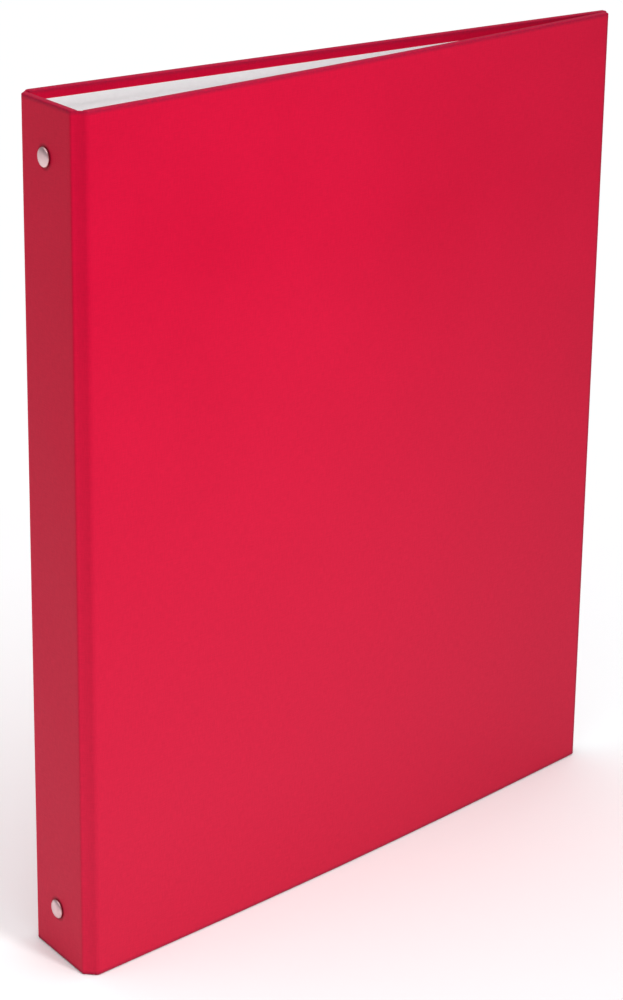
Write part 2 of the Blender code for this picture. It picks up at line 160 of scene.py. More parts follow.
RIVET_SHANK = 0.00175
RIVET_HOLE = RIVET_SHANK + 0.0003
RIVET_BUTTON = 0.0030
RIVET_DOME_STEPS = 12
RIVET_GAP = 0.00015  # from the covering to the head, and from the housing to the button
# reach of the dent and of the painted shade round each rivet head
DENT_SHADE_NEAR, DENT_SHADE_FAR = RIVET_RADIUS - 0.0002, RIVET_RADIUS + 0.0014
LEVER_HALF = 0.0045
LEVER_PLATE = 0.0010
LEVER_EDGE = 0.0002
LEVER_CORNER = 0.0022
LEVER_SHAFT = 0.0008
LEVER_COLUMNS = 8
LEVER_STEPS = 5  # between two points of its path
LEVER_NOTCH = LEVER_HALF + 0.0006
LEVER_NOTCH_DEPTH = 0.0052
NOTCH_PAST = 0.003  # how far the notch cutters reach past the housing's ends
NOTCH_ROUND = 0.001
LEVER_PATH = [
    (-0.00235, -0.0029), (-0.00235, -0.0012), (0.0, 0.0),
    (0.0030, 0.0028), (0.0060, 0.0048), (0.0086, 0.0066),
]  # (height above the axis, distance outwards from it)


# ---------------------------------------------------------------- materials


# Colours, and scales of noise per metre
RED_DEEP, RED_BRIGHT = (0.570, 0.0018, 0.0325), (0.620, 0.0028, 0.0375)
# painted reflection of the pale floor, blended into the red towards the foot
RED_FLOOR_SHEEN = (0.618, 0.0150, 0.0515)
RED_SPECK = (0.510, 0.0018, 0.0280)
# dark red of the wrapped edges: partly wear, partly painted shade
RED_WORN_SHADE = (0.170, 0.0090, 0.0360)
# painted shade round the rivet heads
RED_RIVET_SHADE = (0.160, 0.0020, 0.0120)
WEAVE_SHADE, NO_SHADE = (0.90, 0.86, 0.88), (1.0, 1.0, 1.0)
MOTTLE_SCALE, WAVE_SCALE, SPECK_SCALE = 14.0, 30.0, 900.0
THREAD_ALONG, THREAD_ACROSS = 260.0, 2600.0  # of a thread of the emboss
PAPER_SHADE, PAPER_BRIGHT = (0.845, 0.830, 0.837), (0.890, 0.878, 0.885)
PAPER_FIBRE = (0.810, 0.787, 0.793)
PAPER_SCALE, FIBRE_ALONG, FIBRE_ACROSS = 420.0, 300.0, 1500.0
PULP_DARK, PULP_LIGHT = (0.300, 0.270, 0.225), (0.430, 0.400, 0.345)
PULP_FLECK = (0.12, 0.11, 0.10)
PULP_SCALE, FLECK_SCALE = 700.0, 1900.0
NICKEL_BRIGHT, NICKEL_HAZY = (0.800, 0.785, 0.765), (0.720, 0.705, 0.685)
RIVET_BRIGHT, RIVET_HAZY = (0.76, 0.55, 0.56), (0.62, 0.41, 0.42)
PLATE_GRAIN, WIRE_GRAIN = (1600.0, 1600.0, 60.0), (900.0, 900.0, 260.0)
RIVET_GRAIN = (240.0, 240.0, 240.0)
HAZE_SCALE = 160.0
ZINC_DARK, ZINC_LIGHT = (0.48, 0.49, 0.51), (0.62, 0.63, 0.65)
CRYSTAL_SCALE, DUST_SCALE = 420.0, 2400.0
FLOOR_SHADE, FLOOR_BRIGHT = (0.955, 0.965, 0.965), (0.965, 0.975, 0.975)
FLOOR_SCALE = 60.0


def shade(name, roughness, metallic=0.0, specular=0.5):
    """A new material, with its node tree and its Principled shader."""
    made = bpy.data.materials.new(name)
    made.use_nodes = True
    tree = made.node_tree
    shader = tree.nodes["Principled BSDF"]
    shader.inputs["Roughness"].default_value = roughness
    shader.inputs["Metallic"].default_value = metallic
    shader.inputs["Specular IOR Level"].default_value = specular
    return made, tree, shader


def add_node(tree, kind, settings=None, **inputs):
    """A node with its settings and inputs; an input is a value or another node's output.

    An input is named, or is given by its number as _0, _1 and so on.
    """
    made = tree.nodes.new("ShaderNode" + kind)
    for key, value in (settings or {}).items():
        setattr(made, key, value)
    for key, value in inputs.items():
        socket = made.inputs[int(key[1:]) if key[1:].isdigit() else key]
        if isinstance(value, bpy.types.NodeSocket):
            tree.links.new(value, socket)
        else:
            socket.default_value = value
    return made


def blend_colours(tree, share, first, second, mode="MIX"):
    """A mix of two colours; each is a tuple of three or another node's output."""
    first, second = [(*side, 1.0) if isinstance(side, tuple) else side for side in (first, second)]
    settings = {"data_type": "RGBA", "blend_type": mode}
    return add_node(tree, "Mix", settings, _0=share, _6=first, _7=second).outputs[2]


def number(tree, operation, first, second=0.0, third=0.0):
    settings = {"operation": operation}
    return add_node(tree, "Math", settings, _0=first, _1=second, _2=third).outputs[0]


def ramp(tree, value, low, high, to_low=0.0, to_high=1.0):
    """value taken from the range low..high to the range to_low..to_high, and kept inside it."""
    ends = {"_1": low, "_2": high, "_3": to_low, "_4": to_high}
    return add_node(tree, "MapRange", {"clamp": True}, _0=value, **ends).outputs[0]


def noise(tree, place, scale, detail=2.0, roughness=0.5):
    kind = {"Scale": scale, "Detail": detail, "Roughness": roughness}
    return add_node(tree, "TexNoise", None, Vector=place, **kind).outputs["Fac"]


def stretched(tree, place, x, y, z=1.0):
    made = add_node(tree, "Mapping", None, Vector=place, Scale=(x, y, z))
    return made.outputs[0]


def sheet_place(tree):
    """Position on the flat sheet in metres, from its own map."""
    return add_node(tree, "UVMap", {"uv_map": "sheet"}).outputs[0]


def object_place(tree):
    return add_node(tree, "TexCoord").outputs["Object"]


def threads(tree, place, x_scale, y_scale):
    """Uneven threads that run along the direction with the lower scale."""
    return noise(tree, stretched(tree, place, x_scale, y_scale), 1.0, detail=3.0, roughness=0.6)


def bump(tree, height, strength, distance, **under):
    """A normal from a height; under may hold the Normal that it adds to."""
    settings = {"Strength": strength, "Distance": distance}
    return add_node(tree, "Bump", None, Height=height, **settings, **under).outputs[0]


def rivet_dents_and_shade(tree, heights):
    """1 under the rivet heads at these heights, falling to 0 just outside them: a mask for a
    pressed dent and for painted shade round each head.
    """
    dent_and_shade = 0.0
    for z in heights:
        centre = (SPINE_OUTER, MIDDLE_Y, z)
        apart = {"_0": object_place(tree), "_1": centre}
        away = add_node(tree, "VectorMath", {"operation": "DISTANCE"}, **apart).outputs["Value"]
        dent_and_shade = number(tree, "ADD", ramp(tree, away, DENT_SHADE_NEAR, DENT_SHADE_FAR, 1.0, 0.0), dent_and_shade)
    return dent_and_shade


def red_covering(name, pressed=()):
    """Laminated covering paper with a fine linen emboss, mottled, darker at its wrapped edges from
    wear and painted shade, and painted paler towards the foot as a painted reflection of the floor.

    pressed holds the heights of the rivets that press a dent into it, and round which a dark shade
    is painted.
    """
    made, tree, shader = shade(name, 0.42, specular=0.055)
    place = sheet_place(tree)
    cloudy = noise(tree, place, MOTTLE_SCALE, detail=4.0, roughness=0.55)
    speckled = noise(tree, place, SPECK_SCALE, detail=3.0, roughness=0.6)
    warp = threads(tree, place, THREAD_ALONG, THREAD_ACROSS)
    weft = threads(tree, place, THREAD_ACROSS, THREAD_ALONG)
    weave = number(tree, "ADD", warp, weft)
    z = add_node(tree, "SeparateXYZ", None, _0=object_place(tree)).outputs["Z"]
    rub_and_shade = add_node(tree, "Attribute", {"attribute_name": "rub_and_shade"}).outputs["Fac"]
    # mask of the wrapped edges: wear makes them rougher, and painted shade makes them darker
    worn_and_shaded = number(tree, "MULTIPLY", rub_and_shade, ramp(tree, speckled, 0.35, 0.65, 0.45, 0.95))

    colour = blend_colours(tree, ramp(tree, cloudy, 0.30, 0.70), RED_DEEP, RED_BRIGHT)
    # painted reflection of the floor: the red turns paler and pinker towards the foot
    colour = blend_colours(tree, ramp(tree, z, SHEEN_TOP, SHEEN_FOOT), colour, RED_FLOOR_SHEEN)
    deep = blend_colours(tree, ramp(tree, weave, 0.80, 1.20), WEAVE_SHADE, NO_SHADE)
    colour = blend_colours(tree, 1.0, colour, deep, "MULTIPLY")
    colour = blend_colours(tree, ramp(tree, speckled, 0.62, 0.80, 0.0, 0.25), colour, RED_SPECK)
    # painted shade on the wrapped edges, mixed with wear
    colour = blend_colours(tree, number(tree, "MULTIPLY", worn_and_shaded, 0.70), colour, RED_WORN_SHADE)

    slow = noise(tree, place, WAVE_SCALE)
    grain = number(tree, "MULTIPLY", speckled, 0.25)
    height = number(tree, "ADD", number(tree, "MULTIPLY", weave, 0.5), grain)
    if pressed:
        # round each rivet head the height is pressed into a real dent and the colour is painted
        # dark as shade
        dent_and_shade = rivet_dents_and_shade(tree, pressed)
        colour = blend_colours(tree, number(tree, "MULTIPLY", dent_and_shade, 0.9), colour, RED_RIVET_SHADE)
        height = number(tree, "SUBTRACT", height, number(tree, "MULTIPLY", dent_and_shade, 4.0))
    tree.links.new(colour, shader.inputs["Base Color"])

    gloss = ramp(tree, cloudy, 0.25, 0.75, 0.39, 0.47)
    rough = number(tree, "ADD", gloss, number(tree, "MULTIPLY", worn_and_shaded, 0.12))
    rough = number(tree, "ADD", rough, ramp(tree, weave, 0.7, 1.3, 0.05, -0.05))
    tree.links.new(rough, shader.inputs["Roughness"])
    fine = bump(tree, height, strength=0.35, distance=0.00008)
    waved = bump(tree, slow, strength=0.30, distance=0.0006, Normal=fine)
    tree.links.new(waved, shader.inputs["Normal"])
    return made


def white_lining():
    """Smooth white paper with faint fibres."""
    made, tree, shader = shade("white_lining", 0.62, specular=0.3)
    place = sheet_place(tree)
    pulp = noise(tree, place, PAPER_SCALE, detail=5.0, roughness=0.65)
    strands = stretched(tree, place, FIBRE_ALONG, FIBRE_ACROSS)
    fibre = noise(tree, strands, 1.0, detail=4.0, roughness=0.7)
    colour = blend_colours(tree, ramp(tree, pulp, 0.3, 0.7), PAPER_SHADE, PAPER_BRIGHT)
    colour = blend_colours(tree, ramp(tree, fibre, 0.64, 0.76, 0.0, 0.35), colour, PAPER_FIBRE)
    tree.links.new(colour, shader.inputs["Base Color"])
    tree.links.new(ramp(tree, pulp, 0.3, 0.7, 0.56, 0.68), shader.inputs["Roughness"])
    height = number(tree, "ADD", pulp, number(tree, "MULTIPLY", fibre, 0.6))
    fine = bump(tree, height, strength=0.25, distance=0.00006)
    tree.links.new(fine, shader.inputs["Normal"])
    return made


def greyboard():
    """Recycled board with light and dark flecks."""
    made, tree, shader = shade("greyboard", 0.9, specular=0.2)
    place = object_place(tree)
    pulp = noise(tree, place, PULP_SCALE, detail=5.0, roughness=0.7)
    fleck = noise(tree, place, FLECK_SCALE)
    colour = blend_colours(tree, ramp(tree, pulp, 0.3, 0.7), PULP_DARK, PULP_LIGHT)
    colour = blend_colours(tree, ramp(tree, fleck, 0.66, 0.74), colour, PULP_FLECK)
    tree.links.new(colour, shader.inputs["Base Color"])
    tree.links.new(ramp(tree, pulp, 0.3, 0.7, 0.84, 0.95), shader.inputs["Roughness"])
    fine = bump(tree, pulp, strength=0.6, distance=0.00012)
    tree.links.new(fine, shader.inputs["Normal"])
    return made


def nickel(name, polish=0.20, grain=PLATE_GRAIN, bright=NICKEL_BRIGHT, hazy=NICKEL_HAZY):
    """Bright plating with faint drawing lines and a thin haze of fingerprints."""
    made, tree, shader = shade(name, polish, metallic=1.0)
    place = object_place(tree)
    lines = noise(tree, stretched(tree, place, *grain), 1.0, detail=4.0, roughness=0.65)
    haze = noise(tree, place, HAZE_SCALE, detail=4.0, roughness=0.6)
    colour = blend_colours(tree, ramp(tree, haze, 0.35, 0.70), bright, hazy)
    tree.links.new(colour, shader.inputs["Base Color"])
    rough = ramp(tree, haze, 0.3, 0.75, polish, polish + 0.12)
    rough = number(tree, "ADD", rough, ramp(tree, lines, 0.3, 0.7, -0.03, 0.05))
    tree.links.new(rough, shader.inputs["Roughness"])
    fine = bump(tree, lines, strength=0.18, distance=0.00005)
    tree.links.new(fine, shader.inputs["Normal"])
    return made


def zinc():
    """Dull plating with a crystalline spangle."""
    made, tree, shader = shade("zinc_plate", 0.42, metallic=1.0)
    place = object_place(tree)
    crystal = add_node(tree, "TexVoronoi", {"feature": "F1"}, Vector=place, Scale=CRYSTAL_SCALE)
    facet = add_node(tree, "SeparateColor", None, Color=crystal.outputs["Color"]).outputs[0]
    dust = noise(tree, place, DUST_SCALE, detail=3.0)
    colour = blend_colours(tree, facet, ZINC_DARK, ZINC_LIGHT)
    tree.links.new(colour, shader.inputs["Base Color"])
    rough = ramp(tree, facet, 0.0, 1.0, 0.32, 0.50)
    rough = number(tree, "ADD", rough, ramp(tree, dust, 0.3, 0.7, -0.04, 0.06))
    tree.links.new(rough, shader.inputs["Roughness"])
    fine = bump(tree, dust, strength=0.3, distance=0.00004)
    tree.links.new(fine, shader.inputs["Normal"])
    return made


# ---------------------------------------------------------------- mesh helpers


def placed(name, shape):
    """A linked object from a bmesh, which is used up."""
    mesh = bpy.data.meshes.new(name)
    shape.to_mesh(mesh)
    shape.free()
    obj = bpy.data.objects.new(name, mesh)
    bpy.context.scene.collection.objects.link(obj)
    return obj


def finished(name, shape, material, smooth_angle=None):
    """An object from a bmesh, smooth but for edges sharper than the given angle."""
    obj = placed(name, shape)
    obj.data.materials.append(material)
    obj.data.shade_smooth()
    if smooth_angle is not None:
        obj.data.set_sharp_from_angle(angle=math.radians(smooth_angle))
    return obj


def apply_modifiers(obj):
    """The object's mesh as its modifiers leave it."""
    bpy.context.view_layer.update()
    seen = obj.evaluated_get(bpy.context.evaluated_depsgraph_get())
    mesh = bpy.data.meshes.new_from_object(seen)
    old = obj.data
    obj.modifiers.clear()
    obj.data = mesh
    bpy.data.meshes.remove(old)
    mesh.name = obj.name
    return obj


def thicken(obj, thickness, offset):
    """An even thickness: behind the surface with offset -1, before it with +1, both with 0."""
    step = obj.modifiers.new("thickness", "SOLIDIFY")
    step.thickness = thickness
    step.offset = offset
    step.use_even_offset = True
    step.use_rim = True
    return apply_modifiers(obj)


def cut(obj, cutter):
    """Takes the cutter's shape out of the object, and removes the cutter."""
    step = obj.modifiers.new("cut", "BOOLEAN")
    step.operation = "DIFFERENCE"
    step.solver = "EXACT"
    step.object = cutter
    apply_modifiers(obj)
    bpy.data.objects.remove(cutter)
    return obj


def round_edges(obj, width, angle=PLATE_CREASE):
    """Rounds the edges sharper than the angle, and keeps the flats between them flat."""
    step = obj.modifiers.new("edges", "BEVEL")
    step.width = width
    step.segments = 2
    step.limit_method = "ANGLE"
    step.angle_limit = math.radians(angle)
    step.use_clamp_overlap = True
    apply_modifiers(obj)
    obj.data.shade_smooth()
    obj.data.set_sharp_from_angle(angle=math.radians(angle))
    even = obj.modifiers.new("normals", "WEIGHTED_NORMAL")
    even.keep_sharp = True
    return apply_modifiers(obj)


def prism(outline, low, high, place):
    """A closed outline of (a, b) points between two levels; place(a, b, level) gives a point."""
    shape = bmesh.new()
    rims = [[shape.verts.new(place(a, b, level)) for a, b in outline] for level in (low, high)]
    for rim in rims:
        shape.faces.new(rim)
    for i in range(len(outline)):
        j = (i + 1) % len(outline)
        shape.faces.new((rims[0][i], rims[0][j], rims[1][j], rims[1][i]))
    bmesh.ops.recalc_face_normals(shape, faces=shape.faces)
    return shape


def swept(path, radii, sides):
    """A round bar through a list of points in a plane across Z, closed at both ends."""
    shape = bmesh.new()
    rims = []
    for i, (point, radius) in enumerate(zip(path, radii)):
        ahead = path[min(i + 1, len(path) - 1)] - path[max(i - 1, 0)]
        across = ahead.normalized().cross(Vector((0, 0, 1)))
        rim = []
        for k in range(sides):
            turn = 2 * math.pi * k / sides
            spoke = across * math.cos(turn) + Vector((0, 0, math.sin(turn)))
            rim.append(shape.verts.new(point + spoke * radius))
        rims.append(rim)
    for first, second in zip(rims, rims[1:]):
        for k in range(sides):
            j = (k + 1) % sides
            shape.faces.new((first[k], first[j], second[j], second[k]))
    for rim in (rims[0], rims[-1]):
        shape.faces.new(rim)
    bmesh.ops.recalc_face_normals(shape, faces=shape.faces)
    return shape


def turned(profile, centre_y, centre_z, sides=48):
    """(x, radius) points turned about an axis along X; the first and last lie on the axis."""
    shape = bmesh.new()
    rims = []
    turns = [2 * math.pi * k / sides for k in range(sides)]
    for x, radius in profile[1:-1]:
        rim = [(centre_y + radius * math.cos(t), centre_z + radius * math.sin(t)) for t in turns]
        rims.append([shape.verts.new((x, *spot)) for spot in rim])
    for first, second in zip(rims, rims[1:]):
        for k in range(sides):
            j = (k + 1) % sides
            shape.faces.new((first[k], first[j], second[j], second[k]))
    for rim, (x, _) in ((rims[0], profile[0]), (rims[-1], profile[-1])):
        pole = shape.verts.new((x, centre_y, centre_z))
        for k in range(sides):
            shape.faces.new((pole, rim[k], rim[(k + 1) % sides]))
    bmesh.ops.recalc_face_normals(shape, faces=shape.faces)
    return shape


def hermite(start, start_pull, end, end_pull, steps):
    """Points on a smooth curve, without its first point."""
    points = []
    for i in range(1, steps + 1):
        t = i / steps
        a, b = 2 * t**3 - 3 * t**2 + 1, t**3 - 2 * t**2 + t
        c, d = -2 * t**3 + 3 * t**2, t**3 - t**2
        points.append(start * a + start_pull * b + end * c + end_pull * d)
    return points


# ---------------------------------------------------------------- plan of the wrapped boards


class PanelLine:
    """A panel seen from above: its hinge axis, the way it runs, and its outer side."""

    def __init__(self, axis, along, outward, bow=0.0):
        self.axis = axis
        self.along = along
        self.outward = outward
        self.bow = bow

    def point(self, s, n):
        """The place of (s, n) in plan, with the panel's bow, which is largest half way along."""
        share = max(0.0, min(1.0, (s - BOARD_EDGE) / (REACH - BOARD_EDGE)))
        bowed = n + self.bow * math.sin(math.pi * share)
        return self.axis + self.along * s + self.outward * bowed

    def direction(self, s, n):
        return self.along * s + self.outward * n


FRONT = PanelLine(
    FRONT_AXIS,
    Vector((math.cos(FRONT_LEAN), math.sin(FRONT_LEAN))),
    Vector((math.sin(FRONT_LEAN), -math.cos(FRONT_LEAN))),
    FRONT_BOW,
)
BACK = PanelLine(BACK_AXIS, Vector((1.0, 0.0)), Vector((0.0, 1.0)))
SPINE_AT_FRONT = PanelLine(FRONT_AXIS, Vector((0.0, 1.0)), Vector((-1.0, 0.0)))
SPINE_AT_BACK = PanelLine(BACK_AXIS, Vector((0.0, -1.0)), Vector((-1.0, 0.0)))


def ridge(radius, past, turn):
    """(s, n) points where the covering leaves a flat outer face, with its heading at the end."""
    turns = [turn * i / ROUND_STEPS for i in range(ROUND_STEPS + 1)]
    start, level = BOARD_EDGE + past, PANEL / 2 - radius
    points = [(start - radius * math.sin(t), level + radius * math.cos(t)) for t in turns]
    return points, (-math.cos(turn), -math.sin(turn))


def inner_edge():
    """(s, n) points where the covering goes round a board's inner edge, with its heading."""
    turns = [math.pi / 2 * i / ROUND_STEPS for i in range(ROUND_STEPS + 1)]
    points = [(BOARD_EDGE - WRAP * math.sin(t), -BOARD / 2 - WRAP * math.cos(t)) for t in turns]
    return points, (0.0, 1.0)


def over_hinge(spine, cover, spine_bend, cover_bend, pull):
    """A line of plan points from the spine's bend, over the hinge, to the cover's bend."""
    (from_spine, leaving), (to_cover, arriving) = spine_bend, cover_bend
    first = [spine.point(*place) for place in from_spine]
    last = [cover.point(*place) for place in to_cover][::-1]
    start_pull = spine.direction(*leaving) * pull
    end_pull = cover.direction(*arriving) * -pull
    return first + hermite(first[-1], start_pull, last[0], end_pull, STRIP_STEPS)[:-1] + last


def hinge_stations(spine, cover):
    """(outer, inner) points of the strip that bridges a hinge."""
    outer = over_hinge(spine, cover, ridge(*SPINE_RIDGE), ridge(*COVER_RIDGE), OUTER_PULL)
    inner = over_hinge(spine, cover, inner_edge(), inner_edge(), INNER_PULL)
    return list(zip(outer, inner))


def face_stations(panel, places):
    return [(panel.point(s, PANEL / 2), panel.point(s, -PANEL / 2)) for s in places]


def cover_stations(spine, cover, far_places):
    """(outer, inner) points from the seam on the spine, over the hinge, to the fore edge."""
    start = face_stations(spine, [BOARD_EDGE + SEAM])
    return start + hinge_stations(spine, cover) + face_stations(cover, far_places)


def spaced(start, end, steps):
    return [start + (end - start) * i / steps for i in range(steps + 1)]


def lengths(points):
    """Distance along a line of points, at each of them."""
    run = [0.0]
    for a, b in zip(points, points[1:]):
        run.append(run[-1] + (b - a).length)
    return run


class Surface:
    """A surface of quads collected patch by patch, with its own flat map and a mask for its rubbed
    edges, which are also painted darker as shade.
    """

    def __init__(self):
        self.shape = bmesh.new()
        self.flat = self.shape.loops.layers.uv.new("sheet")
        self.rub_and_shade = self.shape.verts.layers.float.new("rub_and_shade")

    def patch(self, rows, columns, place):
        """place(i, j) gives a position, its place on the flat sheet, and how much it is rubbed and
        painted with shade.
        """
        made = [[place(i, j) for j in range(columns)] for i in range(rows)]
        verts = []
        for row in made:
            line = []
            for position, _, rub_and_shade in row:
                vert = self.shape.verts.new(position)
                vert[self.rub_and_shade] = rub_and_shade
                line.append(vert)
            verts.append(line)
        for i in range(rows - 1):
            for j in range(columns - 1):
                corners = ((i, j), (i + 1, j), (i + 1, j + 1), (i, j + 1))
                face = self.shape.faces.new([verts[a][b] for a, b in corners])
                for loop, (a, b) in zip(face.loops, corners):
                    loop[self.flat].uv = made[a][b][1]

    def closed(self, outer_point):
        """The joined surface, with its faces turned to the side that holds outer_point."""
        bmesh.ops.remove_doubles(self.shape, verts=self.shape.verts, dist=SAME_POINT)
        bmesh.ops.dissolve_degenerate(self.shape, edges=self.shape.edges, dist=NO_LENGTH)
        bmesh.ops.recalc_face_normals(self.shape, faces=self.shape.faces)
        target = Vector(outer_point)

        def away(face):
            return target - face.calc_center_median()

        nearest = min(self.shape.faces, key=lambda face: away(face).length)
        if nearest.normal.dot(away(nearest)) < 0:
            bmesh.ops.reverse_faces(self.shape, faces=self.shape.faces)
        return self.shape


def rim_profile(thickness):
    """(reach, depth) round a wrapped edge, from the outer face to the inner face."""
    radius = min(EDGE_ROUND, ROUND_SHARE * thickness)
    turns = [math.pi / 2 * i / ROUND_STEPS for i in range(ROUND_STEPS + 1)]
    arc = [(radius * math.sin(t), radius * (1 - math.cos(t))) for t in turns]
    over = [(reach, thickness - depth) for reach, depth in arc]
    return over + arc[::-1]


def wrapped_length(name, stations, material, outer_point, fore=None):
    """One length of the covering: outer face, wrapped edges and the border turned in."""
    surface = Surface()
    run = lengths([outer for outer, _ in stations])
    thick = [(outer - inner).length for outer, inner in stations]
    radius = [min(EDGE_ROUND, ROUND_SHARE * t) for t in thick]
    profiles = [rim_profile(t) for t in thick]
    count = len(profiles[0])
    rim_run = [lengths([Vector(point) for point in profile]) for profile in profiles]
    last = len(stations) - 1
    even = spaced(TURN_IN, TOP - BOTTOM - TURN_IN, HEIGHT_STEPS)

    def heights(i):
        near = [radius[i], RUB_AND_SHADE_WIDTH + radius[i]]
        return [BOTTOM + z for z in near + even] + [TOP - z for z in near[::-1]]

    def at(i, depth, z, push=0.0):
        """A point of station i: depth from the inner face, push out of the fore edge."""
        outer, inner = stations[i]
        spot = inner + (outer - inner) * (depth / thick[i])
        if fore is not None:
            spot = spot + fore * push
        return Vector((spot.x, spot.y, z))

    rows = len(heights(0))

    def rubbed_and_shaded(i, j):
        edge = j in (0, rows - 1)
        return 1.0 if edge or (fore is not None and i == last) else 0.0

    surface.patch(
        len(stations), rows,
        lambda i, j: (at(i, thick[i], heights(i)[j]), (run[i], heights(i)[j]), rubbed_and_shaded(i, j)),
    )
    for up in (-1, 1):
        edge = TOP if up > 0 else BOTTOM

        def rim(i, k):
            reach, depth = profiles[i][k]
            z = edge + up * (reach - radius[i])
            return at(i, depth, z), (run[i], edge + up * rim_run[i][k]), 1.0

        def border(i, j):
            inset = (radius[i], radius[i] + RUB_AND_SHADE_WIDTH, TURN_IN)[j]
            along = rim_run[i][-1] + inset
            rub_and_shade = 1.0 if j == 0 or (fore is not None and i == last) else 0.0
            return at(i, 0.0, edge - up * inset), (run[i], edge + up * along), rub_and_shade

        surface.patch(len(stations), count, rim)
        surface.patch(len(stations), 3, border)
        if fore is None:
            continue  # the spine's length has no fore edge, so no corners

        def corner(b, k):
            reach, depth = profiles[last][k]
            turn = math.pi / 2 * b / CORNER_STEPS
            z = edge + up * (reach * math.cos(turn) - radius[last])
            out = rim_run[last][k]
            flat = (run[last] + out * math.sin(turn), edge + up * out * math.cos(turn))
            return at(last, depth, z, reach * math.sin(turn)), flat, 1.0

        surface.patch(CORNER_STEPS + 1, count, corner)
    if fore is not None:
        z_fore = heights(last)

        def fore_rim(j, k):
            reach, depth = profiles[last][k]
            return at(last, depth, z_fore[j], reach), (run[last] + rim_run[last][k], z_fore[j]), 1.0

        def fore_border(i, j):
            """The turned-in border's last three stations, between the corners' borders."""
            i = last - 2 + i
            along = run[last] + rim_run[last][-1] + (run[last] - run[i])
            return at(i, 0.0, z_fore[j + 2]), (along, z_fore[j + 2]), 1.0 if i == last else 0.0

        surface.patch(rows, count, fore_rim)
        surface.patch(3, rows - 4, fore_border)
    obj = finished(name, surface.closed(outer_point), material)
    thicken(obj, SHEET, -1.0)
    obj.data.set_sharp_from_angle(angle=math.radians(CREASE))
    return obj


def lining_length(name, stations, inside, material, inner_point, fore_insets=None):
    """One length of the lining. inside is +1 or -1, the side of the line that faces inwards."""
    surface = Surface()
    points = [inner for _, inner in stations]
    run = lengths(points)
    last = len(points) - 1
    insets = [LINING_INSET, TURN_IN, TURN_IN + LAP_WIDTH / 2, TURN_IN + LAP_WIDTH]
    even = spaced(BOTTOM + 2 * TURN_IN, TOP - 2 * TURN_IN, HEIGHT_STEPS)
    heights = [BOTTOM + z for z in insets] + even + [TOP - z for z in insets[::-1]]

    def lapped(inset):
        share = max(0.0, min(1.0, (TURN_IN + LAP_WIDTH - inset) / LAP_WIDTH))
        return share * share * (3 - 2 * share)

    def place(i, j):
        ahead = (points[min(i + 1, last)] - points[max(i - 1, 0)]).normalized()
        inward = Vector((-ahead.y, ahead.x)) * inside
        z = heights[j]
        lap = lapped(min(z - BOTTOM, TOP - z))
        if fore_insets is not None and i > last - len(fore_insets):
            lap = max(lap, lapped(fore_insets[i - last + len(fore_insets) - 1]))
        spot = points[i] + inward * (LINING_SUNK + (LINING_LAPPED - LINING_SUNK) * lap)
        return Vector((spot.x, spot.y, z)), (run[i], z), 0.0

    surface.patch(len(points), len(heights), place)
    obj = finished(name, surface.closed(inner_point), material)
    thicken(obj, LINING_SHEET, 1.0)
    obj.data.set_sharp_from_angle(angle=math.radians(CREASE))
    return obj


# ---------------------------------------------------------------- covering and lining


def rivet_hole_cutter():
    """Short bars where the rivets pass through the spine."""
    start, end = SPINE_OUTER - PANEL, SPINE_INNER + PANEL / 2
    profile = [(start, 0.0), (start, RIVET_HOLE), (end, RIVET_HOLE), (end, 0.0)]
    joined = bmesh.new()
    for z in RIVET_HEIGHTS.values():
        bar = turned(profile, MIDDLE_Y, z)
        mesh = bpy.data.meshes.new("bar")
        bar.to_mesh(mesh)
        bar.free()
        joined.from_mesh(mesh)
        bpy.data.meshes.remove(mesh)
    return placed("rivet_holes", joined)


def hinge_band(spine, cover):
    """The two points between which a hinge bends: the inner edges of its two boards."""
    start = spine.point(BOARD_EDGE, -PANEL / 2)
    end = cover.point(BOARD_EDGE, -PANEL / 2)
    return (start.x, start.y, MIDDLE_Z), (end.x, end.y, MIDDLE_Z)


def build_cover(name, spine, cover, inside, red, white):
    """The covering and the lining of one cover, from the seam on the spine to the fore edge."""
    near_fore = [REACH - TURN_IN, REACH - RUB_AND_SHADE_WIDTH - EDGE_ROUND, REACH - EDGE_ROUND]
    places = spaced(BOARD_EDGE, REACH - TURN_IN, COVER_STEPS)[1:-1] + near_fore
    face = cover.point(REACH / 2, PANEL)
    sheet = wrapped_length(
        name + "_cover_sheet", cover_stations(spine, cover, places), red,
        (face.x, face.y, MIDDLE_Z), cover.along,
    )
    insets = [TURN_IN + LAP_WIDTH, TURN_IN + LAP_WIDTH / 2, TURN_IN, LINING_INSET]
    places = spaced(BOARD_EDGE, REACH - 2 * TURN_IN, COVER_STEPS)[1:] + [REACH - x for x in insets]
    face = cover.point(REACH / 2, -PANEL)
    lining = lining_length(
        name + "_cover_lining_sheet", cover_stations(spine, cover, places), inside, white,
        (face.x, face.y, MIDDLE_Z), insets,
    )
    start, end = hinge_band(spine, cover)
    for piece, slot in ((sheet, "covering"), (lining, "lining")):
        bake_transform(piece)
        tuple(start)
        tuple(end)
    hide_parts(name + "_cover_covering", name + "_hinge_strip")
    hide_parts(name + "_cover_lining")


def build_spine(red, white):
    """The covering and the lining on the flat of the spine, with holes for the rivets."""
    length = BACK_AXIS.y - FRONT_AXIS.y
    places = spaced(length - BOARD_EDGE - SEAM, BOARD_EDGE + SEAM, SPINE_STEPS)
    stations = face_stations(SPINE_AT_FRONT, places)
    outside = (SPINE_OUTER - PANEL, MIDDLE_Y, MIDDLE_Z)
    sheet = wrapped_length("spine_sheet", stations, red, outside)
    inside = (SPINE_INNER + PANEL, MIDDLE_Y, MIDDLE_Z)
    lining = lining_length("spine_lining_sheet", stations, 1, white, inside)
    for piece, slot, node in (
        (sheet, "covering", "spine_covering"),
        (lining, "lining", "spine_lining"),
    ):
        cut(piece, rivet_hole_cutter())
        piece.data.shade_smooth()
        piece.data.set_sharp_from_angle(angle=math.radians(CREASE))
        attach(piece, "spine")
        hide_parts(node)


# ---------------------------------------------------------------- ring mechanism


